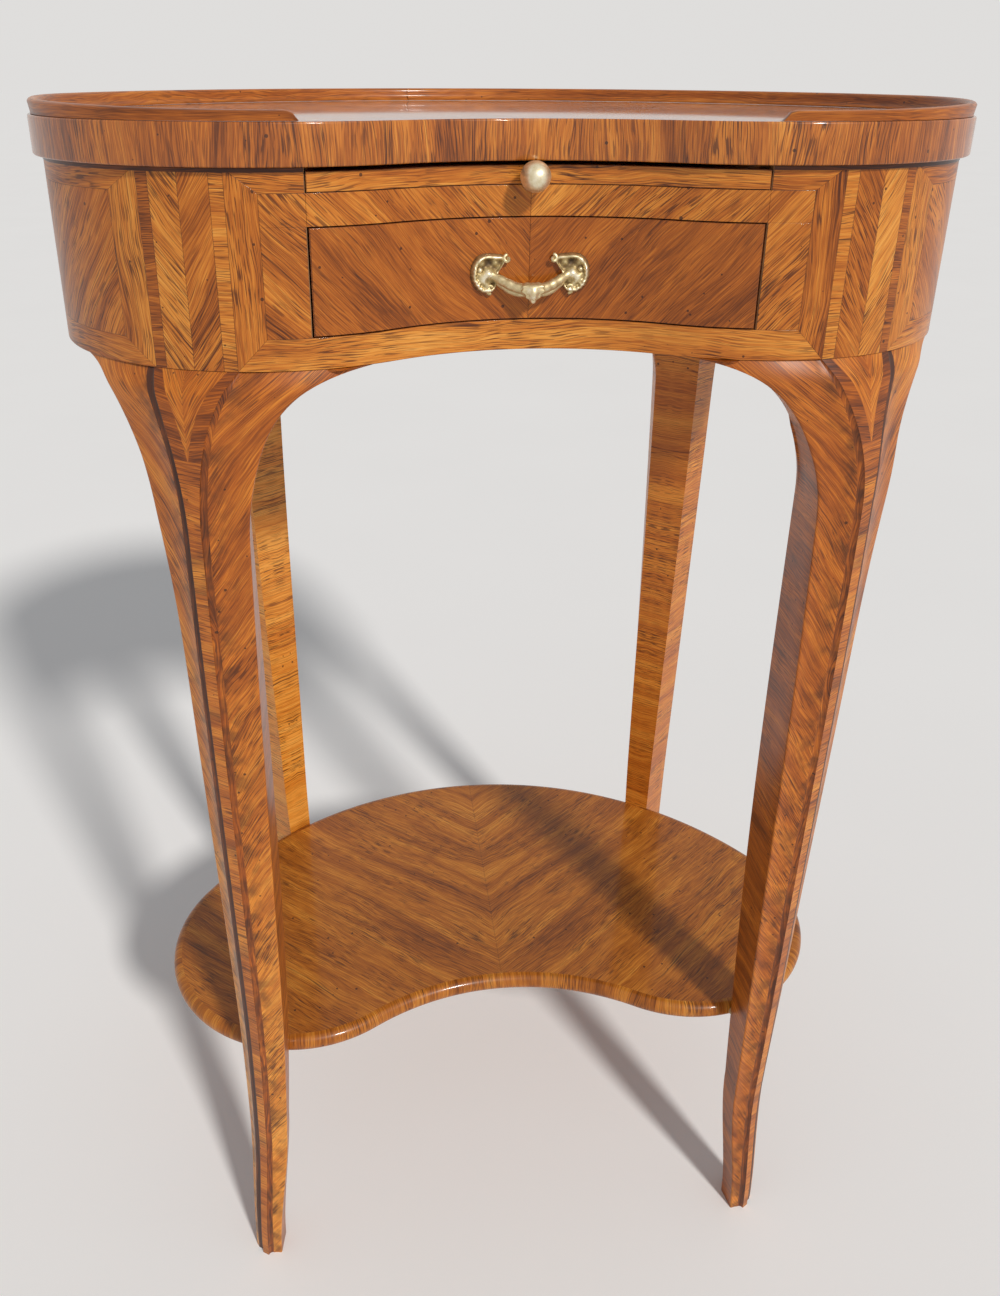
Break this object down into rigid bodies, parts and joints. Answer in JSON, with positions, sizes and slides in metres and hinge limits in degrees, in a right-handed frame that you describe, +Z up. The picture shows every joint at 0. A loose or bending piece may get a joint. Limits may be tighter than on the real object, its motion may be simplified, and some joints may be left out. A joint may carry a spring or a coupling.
{
  "type": "kidney table",
  "caption": "Kidney-shaped veneered side table on cabriole legs, with a low gallery, a pull-out brushing slide, a frieze drawer and a kidney-shaped undertier.",
  "frame": {"origin": "on the floor under the middle of the top", "axes": "+Z up, +X to the right seen from the front, -Y towards the hollow front with the drawer"},
  "size_m": [0.492, 0.338, 0.743],
  "materials": {
    "kingwood_veneer": "french polished",
    "crossband": "french polished",
    "lining_wood": "bare",
    "aged_brass": "aged"
  },
  "bodies": {
    "carcass": {"top_board": "kingwood_veneer", "undertier": "kingwood_veneer", "back_panel": "kingwood_veneer", "drawer_divider_rail": "kingwood_veneer", "leg_front_left": "kingwood_veneer", "leg_rear_left": "kingwood_veneer", "ear_front_front_left": "kingwood_veneer", "ear_front_side_left": "kingwood_veneer", "ear_rear_side_left": "kingwood_veneer", "ear_rear_back_left": "kingwood_veneer", "side_panel_left": "kingwood_veneer", "front_panel_left": "kingwood_veneer", "gallery_left": "crossband", "drawer_runner_left": "lining_wood", "drawer_guide_left": "lining_wood", "slide_runner_left": "lining_wood", "slide_guide_left": "lining_wood", "drawer_stop_left": "lining_wood", "top_block_side_left": "lining_wood", "top_block_back_left": "lining_wood", "dowel_front_left": "lining_wood", "dowel_rear_left": "lining_wood", "leg_front_right": "kingwood_veneer", "leg_rear_right": "kingwood_veneer", "ear_front_front_right": "kingwood_veneer", "ear_front_side_right": "kingwood_veneer", "ear_rear_side_right": "kingwood_veneer", "ear_rear_back_right": "kingwood_veneer", "side_panel_right": "kingwood_veneer", "front_panel_right": "kingwood_veneer", "gallery_right": "crossband", "drawer_runner_right": "lining_wood", "drawer_guide_right": "lining_wood", "slide_runner_right": "lining_wood", "slide_guide_right": "lining_wood", "drawer_stop_right": "lining_wood", "top_block_side_right": "lining_wood", "top_block_back_right": "lining_wood", "dowel_front_right": "lining_wood", "dowel_rear_right": "lining_wood", "front_bottom_rail": "crossband"},
    "drawer": {"drawer_front": "kingwood_veneer", "drawer_side_left": "lining_wood", "drawer_side_right": "lining_wood", "drawer_back": "lining_wood", "drawer_bottom": "lining_wood", "handle": "aged_brass", "handle_pin_left": "aged_brass", "handle_pin_right": "aged_brass"},
    "slide": {"slide_board": "kingwood_veneer", "slide_lipping": "crossband", "slide_knob": "aged_brass"}
  },
  "joints": [
    {"name": "drawer_slide", "type": "slide", "parent": "carcass", "child": "drawer", "axis": [0, -1, 0], "range_m": [0, 0.165]},
    {"name": "brushing_slide", "type": "slide", "parent": "carcass", "child": "slide", "axis": [0, -1, 0], "range_m": [0, 0.165]}
  ]
}
